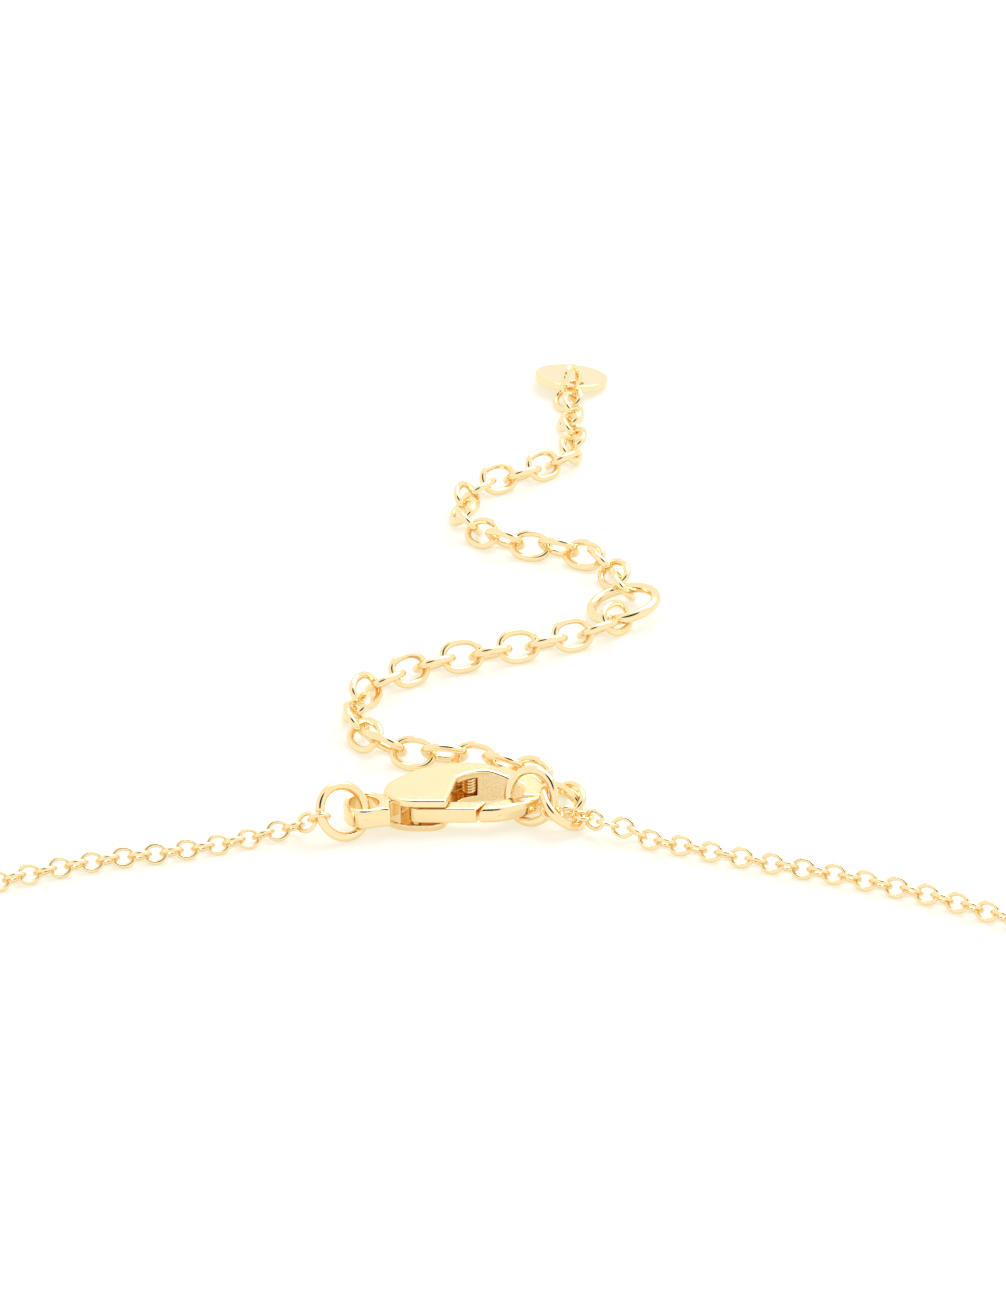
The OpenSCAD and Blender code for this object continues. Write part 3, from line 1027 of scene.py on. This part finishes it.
def light_walls(scene):
    """Even light all round, with the dark patch that draws thin lines on the polished metal."""
    studio = scene.necklace_studio
    world = bpy.data.worlds.new("studio_light")
    scene.world = world
    world.use_nodes = True
    nodes, links = world.node_tree.nodes, world.node_tree.links
    background = nodes["Background"]
    place = nodes.new("ShaderNodeTexCoord")
    toward = nodes.new("ShaderNodeVectorMath")
    toward.operation = "DOT_PRODUCT"
    toward.inputs[1].default_value = Vector(FLAG_TOWARD).normalized()
    patch = nodes.new("ShaderNodeValToRGB")
    for element, position, light in zip(
            patch.color_ramp.elements, (FLAG_START, FLAG_FULL), (studio.sky, studio.flag)):
        element.position = position
        element.color = (light, light, light, 1)
    links.new(place.outputs["Generated"], toward.inputs[0])
    links.new(toward.outputs["Value"], patch.inputs["Fac"])
    links.new(patch.outputs["Color"], background.inputs["Color"])


def hang_lamp(scene):
    """The soft box above and behind the necklace."""
    studio = scene.necklace_studio
    lamp = bpy.data.lights.new("soft_box", "AREA")
    lamp.shape = "RECTANGLE"
    lamp.size, lamp.size_y = studio.lamp_size
    lamp.energy = studio.lamp_power
    lamp.color = (1, 0.985, 0.96)
    box = bpy.data.objects.new("soft_box", lamp)
    box.location = studio.lamp_place
    box.rotation_euler = (-box.location).to_track_quat("-Z", "Y").to_euler()
    scene.collection.objects.link(box)


# The camera's sensor, in millimetres, and how near and far it sees, in metres
SENSOR_WIDTH = 36
SEES_FROM, SEES_TO = 0.005, 20


def aim_camera(scene):
    """The camera, level from side to side and looking down at the necklace."""
    studio = scene.necklace_studio
    data = bpy.data.cameras.new("camera")
    data.sensor_fit = "HORIZONTAL"
    data.sensor_width = SENSOR_WIDTH
    data.lens = studio.lens
    data.clip_start = SEES_FROM
    data.clip_end = SEES_TO
    camera = bpy.data.objects.new("camera", data)
    back = Vector((0, -math.cos(studio.elevation), math.sin(studio.elevation)))
    camera.location = Vector(studio.aim) + back * studio.distance
    camera.rotation_euler = (math.pi / 2 - studio.elevation, 0, 0)
    scene.collection.objects.link(camera)
    scene.camera = camera


class NECKLACE_OT_studio(bpy.types.Operator):
    """Sets the floor, the soft light and the camera"""
    bl_idname = "necklace.studio"
    bl_label = "Studio"

    def execute(self, context):
        scene = context.scene
        lay_floor(scene)
        light_walls(scene)
        hang_lamp(scene)
        aim_camera(scene)
        scene.view_settings.view_transform = "Standard"
        scene.cycles.max_bounces = 14
        scene.cycles.glossy_bounces = 12
        scene.cycles.diffuse_bounces = 5
        return {"FINISHED"}


class NECKLACE_PT_panel(bpy.types.Panel):
    """Lists the necklace's pieces and their sizes"""
    bl_idname = "NECKLACE_PT_panel"
    bl_label = "Initial pendant necklace"
    bl_space_type = "VIEW_3D"
    bl_region_type = "UI"
    bl_category = "Necklace"

    def draw(self, context):
        for group in (context.scene.necklace_wires, context.scene.necklace_finish,
                      context.scene.necklace_studio):
            box = self.layout.box()
            for name in group.__annotations__:
                box.prop(group, name)
        for operator in OPERATORS:
            self.layout.operator(operator.bl_idname)


GROUPS = {"necklace_wires": NecklaceWires, "necklace_finish": NecklaceFinish,
          "necklace_studio": NecklaceStudio}
OPERATORS = (NECKLACE_OT_studio, NECKLACE_OT_clasp, NECKLACE_OT_rings, NECKLACE_OT_extender,
             NECKLACE_OT_end_disc, NECKLACE_OT_neck_chain, NECKLACE_OT_pendant)


def register():
    """Registers the classes and hangs the settings on the scene."""
    for made in (*GROUPS.values(), *OPERATORS, NECKLACE_PT_panel):
        bpy.utils.register_class(made)
    for name, group in GROUPS.items():
        setattr(bpy.types.Scene, name, PointerProperty(type=group))


def unregister():
    """Takes the settings and the classes away again."""
    for name in GROUPS:
        delattr(bpy.types.Scene, name)
    for made in reversed((*GROUPS.values(), *OPERATORS, NECKLACE_PT_panel)):
        bpy.utils.unregister_class(made)


def main():
    """Builds everything around the imported model."""
    register()
    bpy.ops.necklace.studio()
    bpy.ops.necklace.clasp()
    bpy.ops.necklace.rings()
    bpy.ops.necklace.extender()
    bpy.ops.necklace.end_disc()
    bpy.ops.necklace.neck_chain()
    bpy.ops.necklace.pendant()
    bpy.context.view_layer.update()
    boxes = {"cad": CAD_BOX, "visual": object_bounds()}
    {name: [[float(x) for x in corner] for corner in box] for name, box in boxes.items()}


if __name__ == "__main__":
    main()
